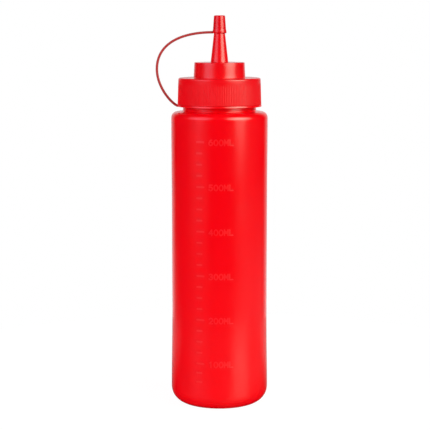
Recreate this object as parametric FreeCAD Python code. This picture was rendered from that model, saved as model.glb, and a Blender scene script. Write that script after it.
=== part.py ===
import FreeCAD
import Part

import math
import os

# A squeeze bottle for sauce, in millimetres: the blow-moulded bottle, its screw cap with the
# spout, and the tip cap that a moulded strap holds to a ring round the neck.
# The origin is the centre of the foot that it stands on, +Z is up, and the measuring scale
# faces -Y.

# ---------- driving dimensions ----------

# bottle
SHOULDER_HEIGHT = 205.65        # where the shoulder meets the neck
WAIST_RADIUS = 33.25            # the straight middle of the wall
FOOT_FLARE = 0.55               # how much wider the wall is just above the foot's corner
FOOT_FLARE_TOP = 60.0           # where that flare has run out
FOOT_CORNER_RADIUS = 10.9       # from the wall to the foot
FOOT_BAND = 1.5                 # upright wall between that corner and the flare
SHOULDER_FLARE = 0.22           # how much wider the wall is under the shoulder
SHOULDER_FLARE_DROP = 65.0      # how far below the shoulder that flare starts
SHOULDER_BAND = 10.0            # upright wall, and the corner, between the flare and the shoulder
SHOULDER_CORNER_RADIUS = 4.4    # from the wall to the shoulder
SHOULDER_SLOPE_DEG = 5.0
NECK_RADIUS = 25.35
NECK_ROOT_RADIUS = 0.8
NECK_SHOWING = 3.2              # bare neck between the shoulder and the strap's ring
PUSH_UP_DEPTH = 2.6             # hollow under the base, inside the foot
PUSH_UP_RADIUS = 19.0
PUSH_UP_SLOPE = 6.0             # breadth of the slope between the foot and the hollow's roof
PUSH_UP_BEND_RADIUS = 6.0
FOOT_EDGE_RADIUS = 1.5
WALL_THICKNESS = 0.98           # of the real, hollow bottle, which sets the scale's pitch

# measuring scale, in the bottle's wall
MARK_VOLUME = 25000.0           # from one mark to the next, in cubic millimetres
MARK_100_HEIGHT = 33.6          # height of the 100 ml mark
LOW_MARK_PITCH = 6.5            # between the marks under 100 ml, where the wall is wider
MARKS_BELOW_100 = 2
BARE_WALL_ABOVE = 18.0          # at least this much wall above the highest mark
MARKS_PER_LONG_ONE = 4          # every fourth mark, at the full hundreds, is a long one
MARK_START_DEG = -28.4          # round the wall from the middle of the front
LONG_MARK_END_DEG = -17.9
SHORT_MARK_END_DEG = -20.3
MARK_BREADTH = 1.3              # up the wall, at its root
MARK_RELIEF = 0.35              # out of the wall
MARK_ROOT = 0.6                 # into the wall, so that it is one piece with it

# screw cap
SKIRT_HEIGHT = 18.4
SKIRT_WALL = 3.45               # from the bore to the skirt's foot
SKIRT_DRAFT = 0.55              # how much narrower the skirt is at its top
SKIRT_EDGE_RADIUS = 1.2
SKIRT_LIP_RADIUS = 0.3
ROOF_THICKNESS = 1.8
NECK_CLEARANCE = 0.2            # between the neck and the cap's bore
RIB_COUNT = 150
RIB_DEPTH = 0.16
RIB_GROOVE_RADIUS = 0.6
RIB_GROOVE_OVERRUN = 1.0        # how far the grooves run out below the skirt's foot
SMOOTH_BAND = 3.6               # plain band above the ribs
DRUM_HEIGHT = 10.6              # raised middle of the cap
DRUM_FOOT_RADIUS = 17.9
DRUM_TOP_RADIUS = 17.35
DRUM_EDGE_RADIUS = 0.4
DRUM_FOOT_FILLET = 0.4

# spout
SPOUT_HEIGHT = 30.95
SPOUT_FOOT_RADIUS = 6.15
SPOUT_TIP_RADIUS = 2.6
SPOUT_FOOT_FILLET = 0.5
SPOUT_TIP_EDGE_RADIUS = 0.3

# tip cap, strap and neck ring, moulded as one
TIP_CAP_LENGTH = 12.3
TIP_CAP_TOP_THICKNESS = 1.2
TIP_CAP_TOP_WALL = 1.15         # beside the spout's tip
TIP_CAP_WAIST_WALL = 0.86       # just above the lip
TIP_CAP_EDGE_RADIUS = 0.9
SPOUT_CLEARANCE = 0.1           # between the spout and the tip cap's socket
LIP_WALL = 0.86
LIP_HEIGHT = 1.4                # straight part of the lip
LIP_FLARE_HEIGHT = 1.5          # the slope above it
LIP_EDGE_RADIUS = 0.35
LIP_BLEND_RADIUS = 1.5
STRAP_DROP = 0.75               # strap's middle line above the lip's lower face
STRAP_THICKNESS = 1.4
STRAP_WIDTH = 2.6
STRAP_EDGE_RADIUS = 0.5
STRAP_REACH = 14.05             # how far the loop stands out beyond the ring
STRAP_CREST_PULL = 24.7         # how far it runs flat out of the lip before it turns down
STRAP_UPPER_PULL = 16.0         # how far it runs upright above its widest point
STRAP_LOWER_PULL = 13.4         # and below it
STRAP_RING_PULL = 3.3           # how far it runs flat into the ring
STRAP_STATIONS = 14             # points along each half of its outline
STRAP_ROOT = 0.9                # how deep it is rooted in the ring
STRAP_UNDER_CAP = 0.1           # its upper face below the skirt, where it leaves the ring
RING_THICKNESS = 1.3
RING_BREADTH = 3.65             # from the ring's bore to its rim
RING_EDGE_RADIUS = 0.5
RING_CLEARANCE = 0.35           # between the ring and the neck

# ---------- heights and radii that follow from them ----------

MARK_PITCH = MARK_VOLUME / (math.pi * (WAIST_RADIUS - WALL_THICKNESS) ** 2)
MARKED_WALL = SHOULDER_HEIGHT - BARE_WALL_ABOVE - MARK_100_HEIGHT
MARKS_ABOVE_100 = int(MARKED_WALL / MARK_PITCH)
FOOT_RADIUS = WAIST_RADIUS + FOOT_FLARE
FOOT_BAND_TOP = FOOT_CORNER_RADIUS + FOOT_BAND
SHOULDER_RADIUS = WAIST_RADIUS + SHOULDER_FLARE
SHOULDER_FLARE_START = SHOULDER_HEIGHT - SHOULDER_FLARE_DROP
SHOULDER_BAND_START = SHOULDER_HEIGHT - SHOULDER_BAND
SHOULDER_FALL = (SHOULDER_RADIUS - NECK_RADIUS) * math.tan(math.radians(SHOULDER_SLOPE_DEG))
RING_BOTTOM = SHOULDER_HEIGHT + NECK_SHOWING
RING_TOP = RING_BOTTOM + RING_THICKNESS
SKIRT_TOP = RING_TOP + SKIRT_HEIGHT
NECK_TOP = SKIRT_TOP - ROOF_THICKNESS
DRUM_TOP = SKIRT_TOP + DRUM_HEIGHT
SPOUT_TIP = DRUM_TOP + SPOUT_HEIGHT
TIP_CAP_TOP = SPOUT_TIP + TIP_CAP_TOP_THICKNESS
LIP_BOTTOM = TIP_CAP_TOP - TIP_CAP_LENGTH
LIP_TOP = LIP_BOTTOM + LIP_HEIGHT + LIP_FLARE_HEIGHT
CAP_BORE_RADIUS = NECK_RADIUS + NECK_CLEARANCE
SKIRT_FOOT_RADIUS = CAP_BORE_RADIUS + SKIRT_WALL
SKIRT_TOP_RADIUS = SKIRT_FOOT_RADIUS - SKIRT_DRAFT
RING_BORE_RADIUS = NECK_RADIUS + RING_CLEARANCE
RING_RADIUS = RING_BORE_RADIUS + RING_BREADTH

FRONT_DEG = -90.0
ROOM_FOR_ROUNDING = 0.98        # share of a side that two roundings may take when it is short


def soft_step(share):
    """0 up to a share of 0, 1 from a share of 1 on, and a soft S between."""
    share = min(max(share, 0.0), 1.0)
    return share * share * (3 - 2 * share)


def wall_radius(z):
    """Radius of the bottle's outer wall at height z, between its two corners."""
    up_foot = (z - FOOT_BAND_TOP) / (FOOT_FLARE_TOP - FOOT_BAND_TOP)
    up_shoulder = (z - SHOULDER_FLARE_START) / (SHOULDER_BAND_START - SHOULDER_FLARE_START)
    flare = FOOT_FLARE * (1 - soft_step(up_foot)) + SHOULDER_FLARE * soft_step(up_shoulder)
    return WAIST_RADIUS + flare


def spout_radius(z):
    """Radius of the spout's cone at height z."""
    share = (z - DRUM_TOP) / SPOUT_HEIGHT
    return SPOUT_FOOT_RADIUS + (SPOUT_TIP_RADIUS - SPOUT_FOOT_RADIUS) * share


def cut_backs(points, roundings):
    """How far each rounded corner cuts back along its two sides, within what they leave room for."""
    count = len(points)
    backs = []
    for i in range(count):
        before = points[i - 1] - points[i]
        after = points[(i + 1) % count] - points[i]
        backs.append(roundings[i] / math.tan(before.getAngle(after) / 2))
    for i in range(count):
        j = (i + 1) % count
        side = (points[j] - points[i]).Length
        if backs[i] + backs[j] > side:
            share = ROOM_FOR_ROUNDING * side / (backs[i] + backs[j])
            backs[i] *= share
            backs[j] *= share
    return backs


def rounded_edges(corners, closed=True):
    """Edges in the XZ plane through the corners (x, z, rounding), each rounded by its radius."""
    count = len(corners)
    points = [FreeCAD.Vector(x, 0, z) for x, z, _ in corners]
    backs = cut_backs(points, [rounding for _, _, rounding in corners])
    starts = []
    ends = []
    arcs = []
    for i, corner in enumerate(points):
        before = points[i - 1] - corner
        after = points[(i + 1) % count] - corner
        before.normalize()
        after.normalize()
        starts.append(corner + before * backs[i])
        ends.append(corner + after * backs[i])
        if backs[i] == 0:
            arcs.append(None)
            continue
        half = before.getAngle(after) / 2
        inward = before + after
        inward.normalize()
        depth = backs[i] / math.cos(half) - backs[i] * math.tan(half)
        arcs.append(Part.Arc(starts[i], corner + inward * depth, ends[i]).toShape())
    edges = []
    for i in range(count):
        if arcs[i] is not None:
            edges.append(arcs[i])
        if closed or i < count - 1:
            edges.append(Part.LineSegment(ends[i], starts[(i + 1) % count]).toShape())
    return edges


def turned(edges, start_deg=0, sweep_deg=360):
    """Solid that the closed outline of these edges sweeps round Z."""
    face = Part.Face(Part.Wire(edges))
    face.rotate(FreeCAD.Vector(), FreeCAD.Vector(0, 0, 1), start_deg)
    return face.revolve(FreeCAD.Vector(), FreeCAD.Vector(0, 0, 1), sweep_deg)


def scale_mark(z, end_deg):
    """One raised mark of the scale, from MARK_START_DEG round the wall to end_deg."""
    crest = wall_radius(z) + MARK_RELIEF
    root = wall_radius(z) - MARK_ROOT
    half = MARK_BREADTH / 2
    edges = rounded_edges(
        [
            (root, z - half, 0),
            (wall_radius(z - half), z - half, 0),
            (crest, z - half / 2, 0),
            (crest, z + half / 2, 0),
            (wall_radius(z + half), z + half, 0),
            (root, z + half, 0),
        ]
    )
    return turned(edges, FRONT_DEG + MARK_START_DEG, end_deg - MARK_START_DEG)


def scale():
    """The raised marks of the measuring scale, long at the full hundreds and short between."""
    marks = []
    for step in range(-MARKS_BELOW_100, MARKS_ABOVE_100 + 1):
        pitch = MARK_PITCH if step > 0 else LOW_MARK_PITCH
        end_deg = SHORT_MARK_END_DEG if step % MARKS_PER_LONG_ONE else LONG_MARK_END_DEG
        marks.append(scale_mark(MARK_100_HEIGHT + step * pitch, end_deg))
    return marks


def soft_side(start, end):
    """Side of an outline that leaves start and reaches end upright, with a soft S between."""
    third = FreeCAD.Vector(0, 0, (end.z - start.z) / 3)
    curve = Part.BezierCurve()
    curve.setPoles([start, start + third, end - third, end])
    return curve.toShape()


def bottle():
    """The bottle out to its skin, from the push-up under its base to the rim of its neck."""
    foot = rounded_edges(
        [
            (0, PUSH_UP_DEPTH, 0),
            (PUSH_UP_RADIUS - PUSH_UP_SLOPE, PUSH_UP_DEPTH, PUSH_UP_BEND_RADIUS),
            (PUSH_UP_RADIUS, 0, FOOT_EDGE_RADIUS),
            (FOOT_RADIUS, 0, FOOT_CORNER_RADIUS),
            (FOOT_RADIUS, FOOT_BAND_TOP, 0),
        ],
        closed=False,
    )
    shoulder = rounded_edges(
        [
            (SHOULDER_RADIUS, SHOULDER_BAND_START, 0),
            (SHOULDER_RADIUS, SHOULDER_HEIGHT - SHOULDER_FALL, SHOULDER_CORNER_RADIUS),
            (NECK_RADIUS, SHOULDER_HEIGHT, NECK_ROOT_RADIUS),
            (NECK_RADIUS, NECK_TOP, 0),
            (0, NECK_TOP, 0),
            (0, PUSH_UP_DEPTH, 0),
        ],
        closed=False,
    )
    wall_start = FreeCAD.Vector(FOOT_RADIUS, 0, FOOT_BAND_TOP)
    straight_start = FreeCAD.Vector(WAIST_RADIUS, 0, FOOT_FLARE_TOP)
    straight_end = FreeCAD.Vector(WAIST_RADIUS, 0, SHOULDER_FLARE_START)
    wall_end = FreeCAD.Vector(SHOULDER_RADIUS, 0, SHOULDER_BAND_START)
    wall = [
        soft_side(wall_start, straight_start),
        Part.LineSegment(straight_start, straight_end).toShape(),
        soft_side(straight_end, wall_end),
    ]
    return turned(foot + wall + shoulder).fuse(scale())


def rib_grooves():
    """The upright grooves that leave the ribs between them, along the skirt's slope."""
    stand_off = RIB_GROOVE_RADIUS - RIB_DEPTH
    slope = SKIRT_DRAFT / SKIRT_HEIGHT
    out = SKIRT_FOOT_RADIUS + stand_off + slope * RIB_GROOVE_OVERRUN
    start = FreeCAD.Vector(out, 0, RING_TOP - RIB_GROOVE_OVERRUN)
    length = (SKIRT_HEIGHT - SMOOTH_BAND + RIB_GROOVE_OVERRUN) * math.sqrt(1 + slope * slope)
    first = Part.makeCylinder(RIB_GROOVE_RADIUS, length, start, FreeCAD.Vector(-slope, 0, 1))
    grooves = []
    for i in range(RIB_COUNT):
        groove = first.copy()
        groove.rotate(FreeCAD.Vector(), FreeCAD.Vector(0, 0, 1), 360.0 * i / RIB_COUNT)
        grooves.append(groove)
    return grooves


def screw_cap():
    """The ribbed skirt, the drum on its roof and the spout, bored to take the neck."""
    edges = rounded_edges(
        [
            (CAP_BORE_RADIUS, RING_TOP, 0),
            (SKIRT_FOOT_RADIUS, RING_TOP, SKIRT_LIP_RADIUS),
            (SKIRT_TOP_RADIUS, SKIRT_TOP, SKIRT_EDGE_RADIUS),
            (DRUM_FOOT_RADIUS, SKIRT_TOP, DRUM_FOOT_FILLET),
            (DRUM_TOP_RADIUS, DRUM_TOP, DRUM_EDGE_RADIUS),
            (SPOUT_FOOT_RADIUS, DRUM_TOP, SPOUT_FOOT_FILLET),
            (SPOUT_TIP_RADIUS, SPOUT_TIP, SPOUT_TIP_EDGE_RADIUS),
            (0, SPOUT_TIP, 0),
            (0, NECK_TOP, 0),
            (CAP_BORE_RADIUS, NECK_TOP, 0),
        ]
    )
    return turned(edges).cut(rib_grooves())


def bezier_point(ends, share):
    """Point and unit normal at this share of the way along a cubic curve of four points."""
    a, b, c, d = ends
    rest = 1 - share
    point = a * rest**3 + b * (3 * rest * rest * share) + c * (3 * rest * share**2) + d * share**3
    along = (b - a) * rest**2 + (c - b) * (2 * rest * share) + (d - c) * share**2
    along.normalize()
    return point, FreeCAD.Vector(-along.z, 0, along.x)


def lip_radius():
    """Outer radius of the tip cap's lip."""
    return spout_radius(LIP_BOTTOM) + SPOUT_CLEARANCE + LIP_WALL


def strap():
    """The strap's loop: flat out of the lip, over and down past its widest point, to the ring."""
    lip_end = FreeCAD.Vector(LIP_WALL / 2 - lip_radius(), 0, LIP_BOTTOM + STRAP_DROP)
    ring_end_height = RING_TOP - STRAP_UNDER_CAP - STRAP_THICKNESS / 2
    ring_end = FreeCAD.Vector(STRAP_ROOT - RING_RADIUS, 0, ring_end_height)
    widest = FreeCAD.Vector(-RING_RADIUS - STRAP_REACH, 0, (lip_end.z + ring_end.z) / 2)
    left = FreeCAD.Vector(-1, 0, 0)
    up = FreeCAD.Vector(0, 0, 1)
    upper = (lip_end, lip_end + left * STRAP_CREST_PULL, widest + up * STRAP_UPPER_PULL, widest)
    lower = (widest, widest - up * STRAP_LOWER_PULL, ring_end + left * STRAP_RING_PULL, ring_end)
    outside = []
    inside = []
    for ends in (upper, lower):
        for i in range(STRAP_STATIONS + 1):
            if ends is lower and i == 0:
                continue
            point, normal = bezier_point(ends, i / STRAP_STATIONS)
            outside.append(point - normal * (STRAP_THICKNESS / 2))
            inside.append(point + normal * (STRAP_THICKNESS / 2))
    edges = []
    for points, heading in ((outside, 1), (inside, -1)):
        curve = Part.BSplineCurve()
        curve.interpolate(points[::heading])
        edges.append(curve.toShape())
    edges.insert(1, Part.LineSegment(outside[-1], inside[-1]).toShape())
    edges.append(Part.LineSegment(inside[0], outside[0]).toShape())
    face = Part.Face(Part.Wire(edges))
    face.translate(FreeCAD.Vector(0, -STRAP_WIDTH / 2, 0))
    solid = face.extrude(FreeCAD.Vector(0, STRAP_WIDTH, 0))
    long_edges = [edge for edge in solid.Edges if edge.Length > STRAP_REACH]
    return solid.makeFillet(STRAP_EDGE_RADIUS, long_edges)


def tip_cap():
    """The tip cap over the spout, its strap and the ring round the neck, as one moulding."""
    socket_mouth = spout_radius(LIP_BOTTOM) + SPOUT_CLEARANCE
    socket_end = SPOUT_TIP_RADIUS + SPOUT_CLEARANCE
    waist_radius = spout_radius(LIP_TOP) + SPOUT_CLEARANCE + TIP_CAP_WAIST_WALL
    shell_edges = rounded_edges(
        [
            (socket_mouth, LIP_BOTTOM, 0),
            (lip_radius(), LIP_BOTTOM, LIP_EDGE_RADIUS),
            (lip_radius(), LIP_BOTTOM + LIP_HEIGHT, LIP_BLEND_RADIUS),
            (waist_radius, LIP_TOP, LIP_BLEND_RADIUS),
            (socket_end + TIP_CAP_TOP_WALL, TIP_CAP_TOP, TIP_CAP_EDGE_RADIUS),
            (0, TIP_CAP_TOP, 0),
            (0, SPOUT_TIP, 0),
            (socket_end, SPOUT_TIP, 0),
        ]
    )
    ring_edges = rounded_edges(
        [
            (RING_BORE_RADIUS, RING_BOTTOM, 0),
            (RING_RADIUS, RING_BOTTOM, RING_EDGE_RADIUS),
            (RING_RADIUS, RING_TOP, RING_EDGE_RADIUS),
            (RING_BORE_RADIUS, RING_TOP, 0),
        ]
    )
    return turned(ring_edges).fuse([turned(shell_edges), strap()])


os.makedirs("parts", exist_ok=True)
for name, shape in (("bottle", bottle()), ("screw_cap", screw_cap()), ("tip_cap", tip_cap())):
    print(name, "solids", len(shape.Solids), "valid", shape.isValid(),
          "volume cm3", round(shape.Volume / 1000, 3), "faces", len(shape.Faces))
    shape.Solids[0].exportStep("parts/" + name + ".step")
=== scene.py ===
import math

import bmesh
import bpy
import numpy as np
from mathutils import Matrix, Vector, noise


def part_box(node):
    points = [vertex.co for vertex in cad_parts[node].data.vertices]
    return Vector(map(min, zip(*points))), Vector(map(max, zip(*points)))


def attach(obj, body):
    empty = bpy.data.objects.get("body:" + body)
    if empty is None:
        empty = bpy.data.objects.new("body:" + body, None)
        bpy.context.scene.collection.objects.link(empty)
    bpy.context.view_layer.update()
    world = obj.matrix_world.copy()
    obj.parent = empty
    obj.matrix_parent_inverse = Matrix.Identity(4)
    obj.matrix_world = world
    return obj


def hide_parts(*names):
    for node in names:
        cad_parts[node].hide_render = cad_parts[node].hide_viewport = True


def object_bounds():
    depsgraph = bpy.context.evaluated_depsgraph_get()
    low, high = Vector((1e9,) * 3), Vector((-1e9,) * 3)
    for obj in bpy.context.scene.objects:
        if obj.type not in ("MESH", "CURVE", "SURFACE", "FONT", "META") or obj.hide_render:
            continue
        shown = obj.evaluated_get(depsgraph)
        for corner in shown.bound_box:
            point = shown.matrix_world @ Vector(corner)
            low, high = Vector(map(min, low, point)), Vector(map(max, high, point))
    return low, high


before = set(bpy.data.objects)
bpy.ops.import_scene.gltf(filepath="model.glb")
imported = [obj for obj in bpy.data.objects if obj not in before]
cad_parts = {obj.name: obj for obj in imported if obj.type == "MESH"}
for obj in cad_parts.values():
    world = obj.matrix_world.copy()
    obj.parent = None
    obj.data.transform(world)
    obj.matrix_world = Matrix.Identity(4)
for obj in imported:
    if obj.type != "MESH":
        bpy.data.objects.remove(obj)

cad_low, cad_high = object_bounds()


# ---------- Camera ----------
# A long lens stands a metre in front of the bottle, level with its tip, and looks a little
# down on it, so that the shoulder and the cap's ledges show as thin bands.
MM = 0.001
camera_distance = 1.0
camera_height = cad_high.z - 3.35 * MM
camera_aside = -3.1 * MM
camera_dip = math.radians(7.7)

camera_data = bpy.data.cameras.new("camera")
camera_data.lens = 120.6
camera_data.sensor_width = 36.0
camera_data.clip_end = 20.0
camera = bpy.data.objects.new("camera", camera_data)
camera.location = (camera_aside, -camera_distance, camera_height)
camera.rotation_euler = (math.radians(90) - camera_dip, 0, 0)
bpy.context.scene.collection.objects.link(camera)
bpy.context.scene.camera = camera
bpy.context.scene.view_settings.view_transform = "Standard"


# ---------- Bottle ----------
# The bottle is blow moulded from low-density polyethylene, coloured right through. Its wall is
# about a millimetre thick, a little waisted, and stands on a ring round a shallow push-up.
# The scale's marks and numerals are cut in the mould, so they stand softly out of the wall.
_, bottle_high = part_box("bottle")
cap_low, cap_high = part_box("screw_cap")

foot_radius = bottle_high.x
foot_flare = 0.55 * MM
waist_radius = foot_radius - foot_flare
shoulder_flare = 0.22 * MM
shoulder_radius = waist_radius + shoulder_flare
wall_thickness = 0.98 * MM
wall_step = 2.2 * MM
wall_turn = math.radians(3.4)
foot_corner = 10.9 * MM
foot_band_top = foot_corner + 1.5 * MM
foot_flare_top = 60 * MM
neck_showing = 3.2 * MM
ring_thickness = 1.3 * MM
ring_bottom = cap_low.z - ring_thickness
shoulder_height = ring_bottom - neck_showing
shoulder_flare_start = shoulder_height - 65 * MM
shoulder_band_start = shoulder_height - 10 * MM
shoulder_corner = 4.4 * MM
shoulder_slope = math.radians(5)
shoulder_step = 2.5 * MM
neck_radius = 25.35 * MM
neck_fillet = 0.8 * MM
neck_edge = 0.4 * MM
push_up_depth = 2.6 * MM
push_up_radius = 19 * MM
push_up_rounding = 6 * MM
foot_ring_rounding = 1.5 * MM
underside_step = 1.2 * MM


def rounded_path(corners, step):
    """Points of an outline through the corners (radius, height, rounding), with real arcs."""
    path = []
    for i, (r, z, rounding) in enumerate(corners):
        corner = Vector((r, z))
        if rounding == 0:
            path.append(corner)
            continue
        before = (Vector(corners[i - 1][:2]) - corner).normalized()
        after = (Vector(corners[i + 1][:2]) - corner).normalized()
        half = before.angle(after) / 2
        centre = corner + (before + after).normalized() * (rounding / math.sin(half))
        first = corner + before * (rounding / math.tan(half)) - centre
        last = corner + after * (rounding / math.tan(half)) - centre
        turn = math.atan2(first.x * last.y - first.y * last.x, first.dot(last))
        count = max(3, math.ceil(abs(turn) / step))
        for k in range(count + 1):
            cos = math.cos(turn * k / count)
            sin = math.sin(turn * k / count)
            spun = Vector((first.x * cos - first.y * sin, first.x * sin + first.y * cos))
            path.append(centre + spun)
    return path


def divided(path, longest):
    """The same outline with no straight stretch longer than this."""
    points = [path[0]]
    for start, end in zip(path, path[1:]):
        count = max(1, math.ceil((end - start).length / longest - 1e-6))
        points += [start.lerp(end, k / count) for k in range(1, count + 1)]
    return points


def tube_faces(rows, around, looped=False):
    """Faces of a tube whose points lie in rows, each once round it; looped joins its ends."""
    faces = []
    for i in range(rows if looped else rows - 1):
        low = i * around
        high = (i + 1) % rows * around
        for k in range(around):
            j = (k + 1) % around
            faces.append((low + k, low + j, high + j, high + k))
    return faces


def placed(name, points, faces):
    """A new piece with these points and faces, in the scene."""
    mesh = bpy.data.meshes.new(name)
    mesh.from_pydata(points, [], faces)
    piece = bpy.data.objects.new(name, mesh)
    bpy.context.scene.collection.objects.link(piece)
    return piece


def face_outward(piece):
    """Turns every face of a closed skin outward."""
    skin = bmesh.new()
    skin.from_mesh(piece.data)
    bmesh.ops.recalc_face_normals(skin, faces=skin.faces)
    skin.to_mesh(piece.data)
    skin.free()


def crease(piece, sharpest=math.radians(40)):
    """Shades the skin smooth, but for edges that bend by more than this."""
    skin = bmesh.new()
    skin.from_mesh(piece.data)
    for face in skin.faces:
        face.smooth = True
    for edge in skin.edges:
        edge.smooth = len(edge.link_faces) == 2 and edge.calc_face_angle() < sharpest
    skin.to_mesh(piece.data)
    skin.free()


def lathe(name, path, angles, raise_by=None):
    """Closed skin turned from an outline that starts and ends on the axis, or is a loop.

    raise_by(radii, heights, angles) gives how far each point stands out of the turned skin;
    the skin keeps it, in millimetres, as its "raised" attribute.
    """
    on_axis = path[0].x == 0 and path[-1].x == 0
    rows = path[1:-1] if on_axis else path
    radii = np.array([p.x for p in rows])
    heights = np.array([p.y for p in rows])
    turns = np.array(angles)
    around = len(turns)
    back = np.array([path[0] if on_axis else rows[-1], *rows[:-1]])
    ahead = np.array([*rows[1:], path[-1] if on_axis else rows[0]])
    along = ahead - back
    along /= np.linalg.norm(along, axis=1)[:, None]
    out = np.zeros((len(rows), around))
    if raise_by is not None:
        out += raise_by(radii[:, None], heights[:, None], turns[None, :])
    r = radii[:, None] + out * along[:, 1:]
    z = heights[:, None] - out * along[:, :1]
    points = np.stack([r * np.sin(turns), -r * np.cos(turns), z], axis=2).reshape(-1, 3).tolist()
    faces = tube_faces(len(rows), around, looped=not on_axis)
    if on_axis:
        bottom = len(points)
        top = bottom - around
        points += [(0, 0, path[0].y), (0, 0, path[-1].y)]
        for k in range(around):
            j = (k + 1) % around
            faces.append((j, k, bottom))
            faces.append((top + k, top + j, bottom + 1))
    piece = placed(name, points, faces)
    raised = np.zeros(len(points), dtype=np.float32)
    raised[: out.size] = out.reshape(-1) / MM
    piece.data.attributes.new("raised", "FLOAT", "POINT").data.foreach_set("value", raised)
    face_outward(piece)
    return piece


def soft_step(share):
    """0 up to a share of 0, 1 from a share of 1 on, and a soft S between."""
    share = np.clip(share, 0, 1)
    return share * share * (3 - 2 * share)


def wall_radius(z):
    """Radius of the wall at height z: wider at the foot and, a little, under the shoulder."""
    up_foot = (z - foot_band_top) / (foot_flare_top - foot_band_top)
    up_shoulder = (z - shoulder_flare_start) / (shoulder_band_start - shoulder_flare_start)
    flare = foot_flare * (1 - soft_step(up_foot)) + shoulder_flare * soft_step(up_shoulder)
    return float(waist_radius + flare)


# The measuring scale: a mark for every 25 ml, and a number beside each full hundred. The marks
# lie as far apart as the bottle's bore asks, and the two below 100 ml, at the foot, are closer.
mark_millilitres = 25
lowest_mark = 50
highest_mark = 600
mark_100_height = 33.6 * MM
mark_pitch = mark_millilitres * 1e-6 / (math.pi * (waist_radius - wall_thickness) ** 2)
low_mark_pitch = 6.5 * MM
mark_start = math.radians(-28.4)
long_mark_end = math.radians(-17.9)
short_mark_end = math.radians(-20.3)
mark_breadth = 0.6 * MM
mark_relief = 0.055 * MM
mark_softness = 0.9 * MM
mark_row_step = 0.32 * MM
mark_column_step = 0.8 * MM
number_start = math.radians(-12.4)
number_height = 3.75 * MM
number_drop = 0.2 * MM
number_relief = 0.065 * MM
number_step = 0.24 * MM
characters_in_number = 5
character_width = 2.45 * MM
character_pitch = 3.5 * MM
stroke_breadth = 0.4 * MM
stroke_softness = 0.55 * MM


def arc(cx, cz, rx, rz, start, end, count=10):
    """Points of an elliptical arc in a character's box, with its angles in degrees."""
    turns = [math.radians(start + (end - start) * k / count) for k in range(count + 1)]
    return [(cx + rx * math.cos(t), cz + rz * math.sin(t)) for t in turns]


# The strokes of each character, in a box that goes from 0 to 1 across and up.
characters = {
    "0": [arc(0.5, 0.5, 0.5, 0.5, 0, 360, 20)],
    "1": [[(0.2, 0.78), (0.55, 1), (0.55, 0)]],
    "2": [arc(0.5, 0.7, 0.48, 0.3, 165, -35) + [(0.02, 0), (1, 0)]],
    "3": [arc(0.45, 0.76, 0.43, 0.24, 150, -90) + arc(0.45, 0.27, 0.5, 0.27, 80, -150)],
    "4": [[(0.75, 0), (0.75, 1), (0, 0.3), (1, 0.3)]],
    "5": [[(0.92, 1), (0.14, 1)] + arc(0.45, 0.32, 0.5, 0.32, 135, -150)],
    "6": [arc(0.5, 0.31, 0.48, 0.31, 0, 360, 16), arc(0.9, 0.32, 0.88, 0.68, 180, 98, 8)],
    "M": [[(0, 0), (0, 1), (0.5, 0.35), (1, 1), (1, 0)]],
    "L": [[(0.05, 1), (0.05, 0), (0.95, 0)]],
}


def mark_heights():
    """(height, millilitres) of every mark, from the lowest up."""
    marks = []
    for millilitres in range(lowest_mark, highest_mark + 1, mark_millilitres):
        steps = (millilitres - 100) // mark_millilitres
        pitch = mark_pitch if steps > 0 else low_mark_pitch
        marks.append((mark_100_height + steps * pitch, millilitres))
    return marks


def number_strokes(millilitres, middle_height):
    """The number's strokes, as pairs of ends in metres round the wall and up it."""
    strokes = []
    left = number_start * waist_radius
    for character in f"{millilitres}ML":
        for line in characters[character]:
            placed_line = [
                (left + x * character_width, middle_height + (z - 0.5) * number_height)
                for x, z in line
            ]
            strokes += zip(placed_line, placed_line[1:])
        left += character_pitch
    return strokes


def scale_relief(heights, angles):
    """How far the scale's marks and numbers stand out of the wall."""
    up, across = np.broadcast_arrays(heights, angles * waist_radius)
    relief = np.zeros(across.shape)
    for height, millilitres in mark_heights():
        full = millilitres % 100 == 0
        end = long_mark_end if full else short_mark_end
        middle = (mark_start + end) / 2 * waist_radius
        half = (end - mark_start) / 2 * waist_radius
        beyond = np.maximum(np.abs(across - middle) - half + mark_softness / 2, 0)
        above = np.maximum(np.abs(up - height) - mark_breadth / 2, 0)
        away = np.hypot(beyond, above)
        relief = np.maximum(relief, mark_relief * soft_step(1 - away / mark_softness))
        if not full:
            continue
        rows = np.abs(up[:, 0] - height) < number_height
        away = np.full((rows.sum(), across.shape[1]), np.inf)
        for (x0, z0), (x1, z1) in number_strokes(millilitres, height - number_drop):
            length = math.hypot(x1 - x0, z1 - z0)
            share = (across[rows] - x0) * (x1 - x0) + (up[rows] - z0) * (z1 - z0)
            share = np.clip(share / length**2, 0, 1)
            gap_x = across[rows] - x0 - share * (x1 - x0)
            gap_z = up[rows] - z0 - share * (z1 - z0)
            away = np.minimum(away, np.hypot(gap_x, gap_z))
        away = np.maximum(away - stroke_breadth / 2, 0)
        raised = number_relief * soft_step(1 - away / stroke_softness)
        relief[rows] = np.maximum(relief[rows], raised)
    return relief


# The two halves of the mould leave a fine line up each side and a weld across the base. The
# line fades out at the foot, so that the bottle stands on its ring alone.
parting_relief = 0.07 * MM
parting_breadth = 0.35 * MM
parting_reach = math.radians(1.2)
parting_step = math.radians(0.3)
parting_bottom = 0.5 * MM
parting_fade = 2 * MM
weld_relief = 0.45 * MM
weld_breadth = 0.9 * MM
weld_half_length = 17 * MM
weld_fade = 3 * MM
waviness = 0.05 * MM
waves_per_metre = 22


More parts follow.
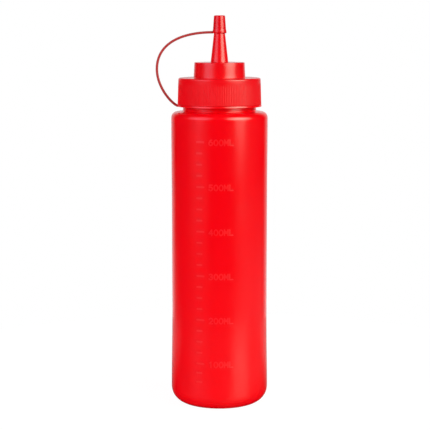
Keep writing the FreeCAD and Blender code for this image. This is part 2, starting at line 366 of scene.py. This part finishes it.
def bottle_relief(radii, heights, angles):
    """The scale, the mould's lines up the sides and the weld across the base."""
    x = radii * np.sin(angles)
    y = radii * np.cos(angles)
    line = parting_relief * soft_step(1 - (np.abs(y) - parting_breadth / 2) / parting_breadth)
    line = line * soft_step((heights - parting_bottom) / parting_fade)
    line = np.where(radii > push_up_radius + foot_ring_rounding, line, 0)
    weld = weld_relief * soft_step(1 - (np.abs(y) - weld_breadth / 2) / weld_breadth)
    weld = weld * soft_step((weld_half_length - np.abs(x)) / weld_fade)
    weld = np.where((heights < foot_corner) & (radii < push_up_radius), weld, 0)
    return scale_relief(heights, angles) + line + weld


def steps_between(start, end, widest, bands):
    """Steps from start to end, at most this wide, and closer inside each (low, high, step)."""
    steps = [start]
    while steps[-1] < end:
        here = steps[-1]
        step = widest
        for low, high, close in bands:
            if low <= here < high:
                step = min(step, close)
            elif here < low < here + step:
                step = max(low - here, close)
        steps.append(here + step)
    steps[-1] = end
    return steps


def wall_heights():
    """Heights of the wall's rows: close together at the marks and numbers, wider between."""
    bands = []
    for height, millilitres in mark_heights():
        reach = mark_breadth / 2 + mark_softness
        bands.append((height - reach, height + reach, mark_row_step))
        if millilitres % 100 == 0:
            reach = number_height / 2 + stroke_breadth / 2 + stroke_softness
            middle = height - number_drop
            bands.append((middle - reach, middle + reach, number_step))
    return steps_between(foot_band_top, shoulder_band_start, wall_step, bands)


def wall_angles():
    """Angles round the wall: close together at the marks, the numbers and the mould's lines."""
    side = math.pi / 2
    number_end = number_start + characters_in_number * character_pitch / waist_radius
    margin = stroke_softness / waist_radius
    bands = [
        (-side - parting_reach, -side + parting_reach, parting_step),
        (mark_start - margin, long_mark_end + margin, mark_column_step / waist_radius),
        (number_start - margin, number_end + margin, number_step / waist_radius),
        (side - parting_reach, side + parting_reach, parting_step),
    ]
    return steps_between(-math.pi, math.pi, wall_turn, bands)[:-1]


shoulder_fall = (shoulder_radius - neck_radius) * math.tan(shoulder_slope)
underside = rounded_path(
    [
        (0, push_up_depth, 0),
        (push_up_radius - push_up_rounding, push_up_depth, push_up_rounding),
        (push_up_radius, 0, foot_ring_rounding),
        (foot_radius, 0, foot_corner),
        (foot_radius, foot_band_top, 0),
    ],
    step=math.radians(6),
)
upper = rounded_path(
    [
        (shoulder_radius, shoulder_band_start, 0),
        (shoulder_radius, shoulder_height - shoulder_fall, shoulder_corner),
        (neck_radius, shoulder_height, neck_fillet),
        (neck_radius, bottle_high.z, neck_edge),
        (0, bottle_high.z, 0),
    ],
    step=math.radians(6),
)
wall = [Vector((wall_radius(z), z)) for z in wall_heights()]
bottle_path = divided(underside[:-1], underside_step) + wall + divided(upper, shoulder_step)[1:]
bottle = lathe("bottle_skin", bottle_path, wall_angles(), bottle_relief)

# The blown wall is slightly uneven.
for vertex in bottle.data.vertices:
    if foot_corner / 2 < vertex.co.z < shoulder_height - shoulder_corner:
        outward = Vector((vertex.co.x, vertex.co.y, 0)).normalized()
        wave = noise.noise(vertex.co * waves_per_metre, noise_basis="PERLIN_ORIGINAL")
        vertex.co += outward * (waviness * wave)
crease(bottle)


def feed(node, sources):
    """Sets each of these sockets of a node to a value, or to what another node gives."""
    for socket, source in sources.items():
        if isinstance(source, bpy.types.NodeSocket):
            node.id_data.links.new(source, node.inputs[socket])
        else:
            node.inputs[socket].default_value = source


def ramp(tree, source, start, end, low, high):
    """Goes from the low level to the high one while its source goes from start to end."""
    node = tree.nodes.new("ShaderNodeMapRange")
    feed(node, {"Value": source, "From Min": start, "From Max": end, "To Min": low, "To Max": high})
    return node.outputs["Result"]


def blend(tree, kind, share, first, second):
    """Goes from the first value to the second while its share goes from 0 to 1."""
    node = tree.nodes.new("ShaderNodeMix")
    node.data_type = kind
    feed(node, {"Factor": share, "A": first, "B": second})
    return node.outputs["Result"]


def combined(tree, operation, *values):
    """What an operation makes of these values."""
    node = tree.nodes.new("ShaderNodeMath")
    node.operation = operation
    feed(node, dict(enumerate(values)))
    return node.outputs["Value"]


def place_along(tree, axis, space="Object"):
    """How far along an axis a point of the piece lies, or in a world, a direction points."""
    place = tree.nodes.new("ShaderNodeTexCoord")
    axes = tree.nodes.new("ShaderNodeSeparateXYZ")
    feed(axes, {"Vector": place.outputs[space]})
    return axes.outputs[axis]


def mottle(tree, spots_per_metre, detail):
    """A soft random pattern, between 0 and 1, with this many spots in a metre."""
    place = tree.nodes.new("ShaderNodeTexCoord")
    node = tree.nodes.new("ShaderNodeTexNoise")
    feed(node, {"Vector": place.outputs["Object"], "Scale": spots_per_metre, "Detail": detail})
    return node.outputs["Fac"]


def plastic(name, colour, deeper, roughness, grain, grain_size, glow):
    """Coloured polyethylene: softly glossy, faintly clouded, with a fine grain from the mould."""
    material = bpy.data.materials.new(name)
    material.use_nodes = True
    tree = material.node_tree
    clouds = mottle(tree, spots_per_metre=40, detail=3)
    peel = mottle(tree, spots_per_metre=1 / grain_size, detail=2)
    bump = tree.nodes.new("ShaderNodeBump")
    feed(bump, {"Height": peel, "Strength": 1, "Distance": grain})
    sleek = roughness - 0.02
    dull = roughness + 0.03
    sockets = {
        "Base Color": blend(tree, "RGBA", clouds, (*colour, 1), (*deeper, 1)),
        "Roughness": ramp(tree, clouds, start=0.3, end=0.7, low=sleek, high=dull),
        "Normal": bump.outputs["Normal"],
        "IOR": 1.51,
        "Specular IOR Level": 0.85,
        "Subsurface Weight": glow,
        "Subsurface Radius": (1.0, 0.1, 0.1),
        "Subsurface Scale": 3 * MM,
    }
    feed(tree.nodes["Principled BSDF"], sockets)
    return material


bottle_plastic = plastic(
    "blown_red_polyethylene",
    colour=(0.94, 0.0002, 0.006),
    deeper=(0.92, 0.0002, 0.005),
    roughness=0.17,
    grain=0.01 * MM,
    grain_size=1.6 * MM,
    glow=0.5,
)

# What stands out of the wall is more matt than the wall, fully so from 0.05 mm on.
raised_roughness = 0.16
tree = bottle_plastic.node_tree
shader = tree.nodes["Principled BSDF"]
raised = tree.nodes.new("ShaderNodeAttribute")
raised.attribute_name = "raised"
matt = ramp(tree, raised.outputs["Fac"], start=0.01, end=0.05, low=0, high=raised_roughness)
wall_roughness = shader.inputs["Roughness"].links[0].from_socket
feed(shader, {"Roughness": combined(tree, "ADD", wall_roughness, matt)})
bottle.data.materials.append(bottle_plastic)
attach(bottle, "root")
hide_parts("bottle")


# ---------- Screw cap ----------
# The cap is injection moulded in one piece with its spout, in a harder polyethylene. Its skirt
# has fine upright ribs for grip, with a plain band above them, and tapers a little so that it
# leaves the mould. It is screwed down on the neck until it meets the strap's ring.
skirt_foot_radius = 29.0 * MM
skirt_draft = 0.55 * MM
skirt_height = 18.4 * MM
skirt_top = cap_low.z + skirt_height
skirt_foot_edge = 0.3 * MM
skirt_top_edge = 1.2 * MM
roof_thickness = 1.8 * MM
drum_height = 10.6 * MM
drum_top = skirt_top + drum_height
drum_foot_radius = 17.9 * MM
drum_top_radius = 17.35 * MM
drum_edge = 0.4 * MM
spout_tip = cap_high.z
spout_foot_radius = 6.15 * MM
spout_tip_radius = 2.6 * MM
spout_foot_fillet = 0.5 * MM
spout_tip_edge = 0.3 * MM
rib_count = 150
rib_columns = 6
rib_depth = 0.14 * MM
rib_step = 1 * MM
rib_fade = 0.8 * MM
plain_band = 3.6 * MM
plain_step = 4 * MM
rib_top = skirt_top - plain_band
neck_clearance = 0.2 * MM
bore_radius = neck_radius + neck_clearance
outside_from = bore_radius + 1.5 * MM


def rib_relief(radii, heights, angles):
    """The grooves between the skirt's ribs, fading out under the plain band."""
    groove = 0.5 - 0.5 * np.cos(angles * rib_count)
    fade = soft_step((rib_top - heights) / rib_fade)
    return np.where(radii > outside_from, -rib_depth * groove * fade, 0)


def full_turn(count):
    """This many angles, evenly round a circle."""
    return [2 * math.pi * k / count for k in range(count)]


cap_path = rounded_path(
    [
        (0, skirt_top - roof_thickness, 0),
        (bore_radius, skirt_top - roof_thickness, 0),
        (bore_radius, cap_low.z, 0),
        (skirt_foot_radius, cap_low.z, skirt_foot_edge),
        (skirt_foot_radius - skirt_draft, skirt_top, skirt_top_edge),
        (drum_foot_radius, skirt_top, drum_edge),
        (drum_top_radius, drum_top, drum_edge),
        (spout_foot_radius, drum_top, spout_foot_fillet),
        (spout_tip_radius, spout_tip, spout_tip_edge),
        (0, spout_tip, 0),
    ],
    step=math.radians(12),
)
cap_points = []
for start, end in zip(cap_path, cap_path[1:]):
    on_skirt = start.x > bore_radius and end.y - start.y > plain_band
    cap_points += divided([start, end], rib_step if on_skirt else plain_step)[:-1]
cap_points.append(cap_path[-1])
screw_cap = lathe("screw_cap_skin", cap_points, full_turn(rib_count * rib_columns), rib_relief)
crease(screw_cap)


def changed_along(material, axis, start, end, socket, value):
    """Lets a setting of the plastic go over to this value along an axis of the bottle."""
    tree = material.node_tree
    shader = tree.nodes["Principled BSDF"]
    target = shader.inputs[socket]
    before = target.links[0].from_socket if target.is_linked else target.default_value
    share = ramp(tree, place_along(tree, axis), start, end, 0, 1)
    feed(shader, {socket: blend(tree, "FLOAT", share, before, value)})


cap_plastic = plastic(
    "moulded_red_polyethylene",
    colour=(0.86, 0.0002, 0.006),
    deeper=(0.84, 0.0002, 0.005),
    roughness=0.2,
    grain=0.0015 * MM,
    grain_size=0.9 * MM,
    glow=0.0,
)

# The ribbed skirt is duller than the drum and the spout. Towards its left its gloss is turned down
# further, painted shade that takes the left soft box's sheen off that side.
skirt_gloss = 0.42
skirt_left_painted_shade_gloss = 0.12
painted_shade_left_end = -17 * MM
skirt_roughness = 0.3
drum_gloss = 0.85
gloss_start = skirt_top - 1.4 * MM
gloss_end = skirt_top - 0.9 * MM
feed(cap_plastic.node_tree.nodes["Principled BSDF"], {"Specular IOR Level": skirt_gloss})
# Painted shade: the skirt's gloss falls off towards the left, where the left soft box is mirrored.
changed_along(cap_plastic, "X", 0, painted_shade_left_end, "Specular IOR Level", skirt_left_painted_shade_gloss)
changed_along(cap_plastic, "Z", gloss_start, gloss_end, "Specular IOR Level", drum_gloss)
changed_along(cap_plastic, "Z", gloss_end, gloss_start, "Roughness", skirt_roughness)
screw_cap.data.materials.append(cap_plastic)
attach(screw_cap, "root")
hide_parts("screw_cap")


# ---------- Tip cap, strap and neck ring ----------
# One soft moulding: the tip cap is pushed over the spout, and its strap loops out to the side
# and down to a flat ring, which lies round the neck under the screw cap so that it isn't lost.
tip_low, tip_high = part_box("tip_cap")
tip_cap_length = 12.3 * MM
lip_bottom = tip_high.z - tip_cap_length
lip_height = 2.9 * MM
lip_top = lip_bottom + lip_height
lip_straight = 1.4 * MM
lip_wall = 0.86 * MM
lip_edge = 0.35 * MM
lip_rounding = 1.5 * MM
tip_wall = 1.15 * MM
tip_rounding = 0.9 * MM
spout_clearance = 0.1 * MM
tip_cap_step = 0.8 * MM
tip_cap_sides = 96


def inner_radius(z):
    """Radius at height z of the tip cap's bore, which follows the spout's cone."""
    share = (z - drum_top) / (spout_tip - drum_top)
    spout_radius = spout_foot_radius + (spout_tip_radius - spout_foot_radius) * share
    return spout_radius + spout_clearance


lip_radius = inner_radius(lip_bottom) + lip_wall
tip_cap_path = rounded_path(
    [
        (0, spout_tip, 0),
        (inner_radius(spout_tip), spout_tip, 0),
        (inner_radius(lip_bottom), lip_bottom, 0),
        (lip_radius, lip_bottom, lip_edge),
        (lip_radius, lip_bottom + lip_straight, lip_rounding),
        (inner_radius(lip_top) + lip_wall, lip_top, lip_rounding),
        (inner_radius(spout_tip) + tip_wall, tip_high.z, tip_rounding),
        (0, tip_high.z, 0),
    ],
    step=math.radians(10),
)
tip_cap_points = divided(tip_cap_path, tip_cap_step)
tip_cap = lathe("tip_cap_skin", tip_cap_points, full_turn(tip_cap_sides))

ring_radius = tip_high.x
ring_draft = 0.33 * MM
ring_clearance = 0.35 * MM
ring_bore = neck_radius + ring_clearance
ring_top = cap_low.z
ring_lower_edge = 0.2 * MM
ring_upper_edge = 0.1 * MM
ring_sides = 240
ring_path = rounded_path(
    [
        (ring_bore, ring_bottom, 0),
        (ring_radius, ring_bottom, ring_lower_edge),
        (ring_radius - ring_draft, ring_top, ring_upper_edge),
        (ring_bore, ring_top, 0),
        (ring_bore, ring_bottom, 0),
    ],
    step=math.radians(20),
)[:-1]
ring = lathe("ring", ring_path, full_turn(ring_sides))

strap_thickness = 1.7 * MM
strap_width = 2.6 * MM
strap_edge = 0.5 * MM
strap_reach = -tip_low.x - strap_thickness / 2
strap_crest_pull = 24.7 * MM
strap_upper_pull = 16.0 * MM
strap_lower_pull = 13.4 * MM
strap_ring_pull = 3.3 * MM
strap_stations = 40
lip_root_depth = 0.43 * MM
lip_root_height = 0.75 * MM
ring_root_depth = 0.9 * MM
ring_root_drop = 0.1 * MM


def bezier(ends, share):
    """Point and heading at this share of the way along a cubic curve of four points."""
    a, b, c, d = ends
    rest = 1 - share
    point = a * rest**3 + b * (3 * rest**2 * share) + c * (3 * rest * share**2) + d * share**3
    along = (b - a) * rest**2 + (c - b) * (2 * rest * share) + (d - c) * share**2
    return point, along.normalized()


ring_root_height = ring_top - ring_root_drop - strap_thickness / 2
lip_end = Vector((lip_root_depth - lip_radius, 0, lip_bottom + lip_root_height))
ring_end = Vector((ring_root_depth - ring_radius, 0, ring_root_height))
side = Vector((-strap_reach, 0, (lip_end.z + ring_end.z) / 2))
left = Vector((-1, 0, 0))
up = Vector((0, 0, 1))
upper_half = (lip_end, lip_end + left * strap_crest_pull, side + up * strap_upper_pull, side)
lower_half = (side, side - up * strap_lower_pull, ring_end + left * strap_ring_pull, ring_end)

strap_stops = [bezier(upper_half, k / strap_stations) for k in range(strap_stations)]
strap_stops += [bezier(lower_half, k / strap_stations) for k in range(strap_stations + 1)]
section = rounded_path(
    [
        (-strap_width / 2, 0, 0),
        (-strap_width / 2, -strap_thickness / 2, strap_edge),
        (strap_width / 2, -strap_thickness / 2, strap_edge),
        (strap_width / 2, strap_thickness / 2, strap_edge),
        (-strap_width / 2, strap_thickness / 2, strap_edge),
        (-strap_width / 2, 0, 0),
    ],
    step=math.radians(22),
)[:-1]
strap_points = []
for point, along in strap_stops:
    normal = Vector((-along.z, 0, along.x))
    strap_points += [point + Vector((0, p.x, 0)) + normal * p.y for p in section]
strap_faces = tube_faces(len(strap_stops), len(section))
strap_faces.append(tuple(reversed(range(len(section)))))
strap_faces.append(tuple(range(len(strap_points) - len(section), len(strap_points))))
strap = placed("strap", strap_points, strap_faces)
face_outward(strap)

# The tip cap has a soft gloss and the strap is more matt. All three are one plastic: the strap's
# darker, greyer red is painted shade, and the ring's lighter red is painted light against the shade
# under the skirt. The ring, which is thin, also lets some light through.
soft_plastic = plastic(
    "soft_red_polyethylene",
    colour=(0.77, 0.0002, 0.006),
    deeper=(0.75, 0.0002, 0.005),
    roughness=0.2,
    grain=0.0015 * MM,
    grain_size=0.9 * MM,
    glow=0.0,
)
# The strap's darker, greyer red is painted shade; it is the same plastic as the tip cap.
strap_painted_shade_plastic = plastic(
    "strap_painted_shade_red_polyethylene",
    colour=(0.46, 0.03, 0.03),
    deeper=(0.44, 0.025, 0.025),
    roughness=0.4,
    grain=0.004 * MM,
    grain_size=1.2 * MM,
    glow=0.0,
)
# The ring's lighter red is painted light, lifting it out of the shade under the skirt.
ring_painted_light_plastic = plastic(
    "ring_painted_light_red_polyethylene",
    colour=(0.97, 0.0002, 0.006),
    deeper=(0.95, 0.0002, 0.005),
    roughness=0.19,
    grain=0.0015 * MM,
    grain_size=0.9 * MM,
    glow=0.3,
)
finishes = [soft_plastic, strap_painted_shade_plastic, ring_painted_light_plastic]
for part, finish in ((tip_cap, soft_plastic), (ring, ring_painted_light_plastic), (strap, strap_painted_shade_plastic)):
    for material in finishes:
        part.data.materials.append(material)
    for face in part.data.polygons:
        face.material_index = finishes.index(finish)


def melt_in(piece, other):
    """Joins another closed skin to the piece, as one moulding, and removes the other."""
    join = piece.modifiers.new("join", "BOOLEAN")
    join.operation = "UNION"
    join.solver = "EXACT"
    join.object = other
    depsgraph = bpy.context.evaluated_depsgraph_get()
    joined = bpy.data.meshes.new_from_object(piece.evaluated_get(depsgraph))
    piece.modifiers.clear()
    piece.data = joined
    bpy.data.objects.remove(other)


melt_in(tip_cap, strap)
melt_in(tip_cap, ring)
crease(tip_cap)
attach(tip_cap, "root")
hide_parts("tip_cap")


# ---------- Table and light ----------
# The bottle stands on a small white table that melts into a white backdrop. Two round soft
# boxes stand in front of it, the right one stronger, with two fills that light its sides but
# aren't mirrored in it. The room behind the camera is dark.
table_radius = 0.3
table_sides = 72
table_white = 0.95
shown_white = 0.97
shown_shade = 0.06
rim = [
    (table_radius * math.cos(turn), table_radius * math.sin(turn), 0)
    for turn in full_turn(table_sides)
]
table = placed("table", rim, [tuple(range(table_sides))])


def grey(level):
    """A colour without hue, of this level."""
    return (level, level, level, 1)


def shader_node(tree, kind, sources):
    """What a new shading node of this kind gives, with these sources."""
    node = tree.nodes.new(kind)
    feed(node, sources)
    return node.outputs[0]


def swapped(tree, choice, usual, other):
    """The usual shading, or the other one for the rays that are chosen."""
    return shader_node(tree, "ShaderNodeMixShader", {"Fac": choice, 1: usual, 2: other})


# The table lights the bottle as plain white, is mirrored in it as lit from the right and from
# behind, and is shown as white as the backdrop, but for a faint shade at the foot.
white = bpy.data.materials.new("white_table")
white.use_nodes = True
tree = white.node_tree
tree.nodes.clear()
rays = tree.nodes.new("ShaderNodeLightPath")
lit_right = ramp(tree, place_along(tree, "X"), start=50 * MM, end=130 * MM, low=0.01, high=0.22)
lit_back = ramp(tree, place_along(tree, "Y"), start=20 * MM, end=120 * MM, low=0, high=0.55)
lit = combined(tree, "MAXIMUM", lit_right, lit_back)
plain = shader_node(tree, "ShaderNodeBsdfDiffuse", {"Color": grey(table_white)})
mirrored = shader_node(tree, "ShaderNodeBsdfPrincipled", {"Base Color": lit, "Roughness": 0.25})
shine = shader_node(tree, "ShaderNodeEmission", {"Color": grey(1), "Strength": shown_white})
shade = shader_node(tree, "ShaderNodeBsdfDiffuse", {"Color": grey(shown_shade)})
shown = shader_node(tree, "ShaderNodeAddShader", {0: shine, 1: shade})
unseen = swapped(tree, rays.outputs["Is Glossy Ray"], plain, mirrored)
surface = swapped(tree, rays.outputs["Is Camera Ray"], unseen, shown)
feed(tree.nodes.new("ShaderNodeOutputMaterial"), {"Surface": surface})
table.data.materials.append(white)

world = bpy.data.worlds.new("surround")
bpy.context.scene.world = world
world.use_nodes = True
world.cycles.sampling_method = "NONE"
tree = world.node_tree
tree.nodes.clear()
rays = tree.nodes.new("ShaderNodeLightPath")


def wall_level(axis, start, end, low, high):
    """Brightness of the room's walls: from the low level to the high one along an axis."""
    return ramp(tree, place_along(tree, axis, "Generated"), start, end, low, high)


# The backdrop and, near the floor, the right and back walls are mirrored in the bottle. The
# light that they give is softer, and falls off towards the camera.
backdrop = wall_level("Y", start=0.68, end=1.0, low=0, high=0.8)
right_wall = wall_level("X", start=0.5, end=0.9, low=0, high=0.22)
back_wall = wall_level("Y", start=0.35, end=1.0, low=0, high=0.3)
near_floor = wall_level("Z", start=-0.2, end=-0.12, low=1, high=0)
low_walls = combined(tree, "MAXIMUM", right_wall, back_wall)
mirrored_room = combined(tree, "MULTIPLY_ADD", near_floor, low_walls, backdrop)
room_light = wall_level("Y", start=-1, end=1, low=0.1, high=0.5)
unseen = blend(tree, "FLOAT", rays.outputs["Is Glossy Ray"], room_light, mirrored_room)
level = blend(tree, "FLOAT", rays.outputs["Is Camera Ray"], unseen, 1.0)
room = shader_node(tree, "ShaderNodeBackground", {"Color": grey(1), "Strength": level})
feed(tree.nodes.new("ShaderNodeOutputWorld"), {"Surface": room})

box_radius = 0.6
box_distance = 1.02
box_aim = Vector((0, 0, 0.2))
box_edge_level = 0.25
box_falloff_end = 0.55


def soft_box(name, azimuth, lift, level, colour, mirrored=True):
    """A round soft box that faces the bottle; level is how bright the middle of its face is."""
    lamp_data = bpy.data.lights.new(name, "AREA")
    lamp_data.shape = "DISK"
    lamp_data.size = 2 * box_radius
    # A disk's power is pi times its area times the brightness of its face.
    lamp_data.energy = level * math.pi**2 * box_radius**2
    lamp_data.color = colour
    lamp_data.use_nodes = True
    tree = lamp_data.node_tree
    face = tree.nodes.new("ShaderNodeNewGeometry")
    off_middle = tree.nodes.new("ShaderNodeVectorMath")
    off_middle.operation = "DISTANCE"
    feed(off_middle, {0: face.outputs["Parametric"], 1: (0.5, 0.5, 0)})
    falloff = ramp(tree, off_middle.outputs["Value"], 0, box_falloff_end, 1, box_edge_level)
    falloff.node.interpolation_type = "SMOOTHSTEP"
    feed(tree.nodes["Emission"], {"Strength": falloff})
    lamp = bpy.data.objects.new(name, lamp_data)
    turn = math.radians(azimuth)
    rise = math.radians(lift)
    reach = math.cos(rise)
    toward = Vector((reach * math.sin(turn), -reach * math.cos(turn), math.sin(rise)))
    lamp.location = box_aim + toward * box_distance
    lamp.rotation_euler = toward.to_track_quat("Z", "Y").to_euler()
    lamp.visible_camera = False
    lamp.visible_glossy = mirrored
    bpy.context.scene.collection.objects.link(lamp)


soft_box("right_soft_box", azimuth=51, lift=25.5, level=5.6, colour=(0.92, 0.93, 0.76))
soft_box("left_soft_box", azimuth=-51, lift=27, level=1.7, colour=(1.0, 0.65, 0.85))
soft_box("left_fill", azimuth=-52, lift=4, level=2.7, colour=(1.0, 1.0, 1.0), mirrored=False)
soft_box("right_fill", azimuth=75, lift=4, level=0.8, colour=(1.0, 1.0, 1.0), mirrored=False)
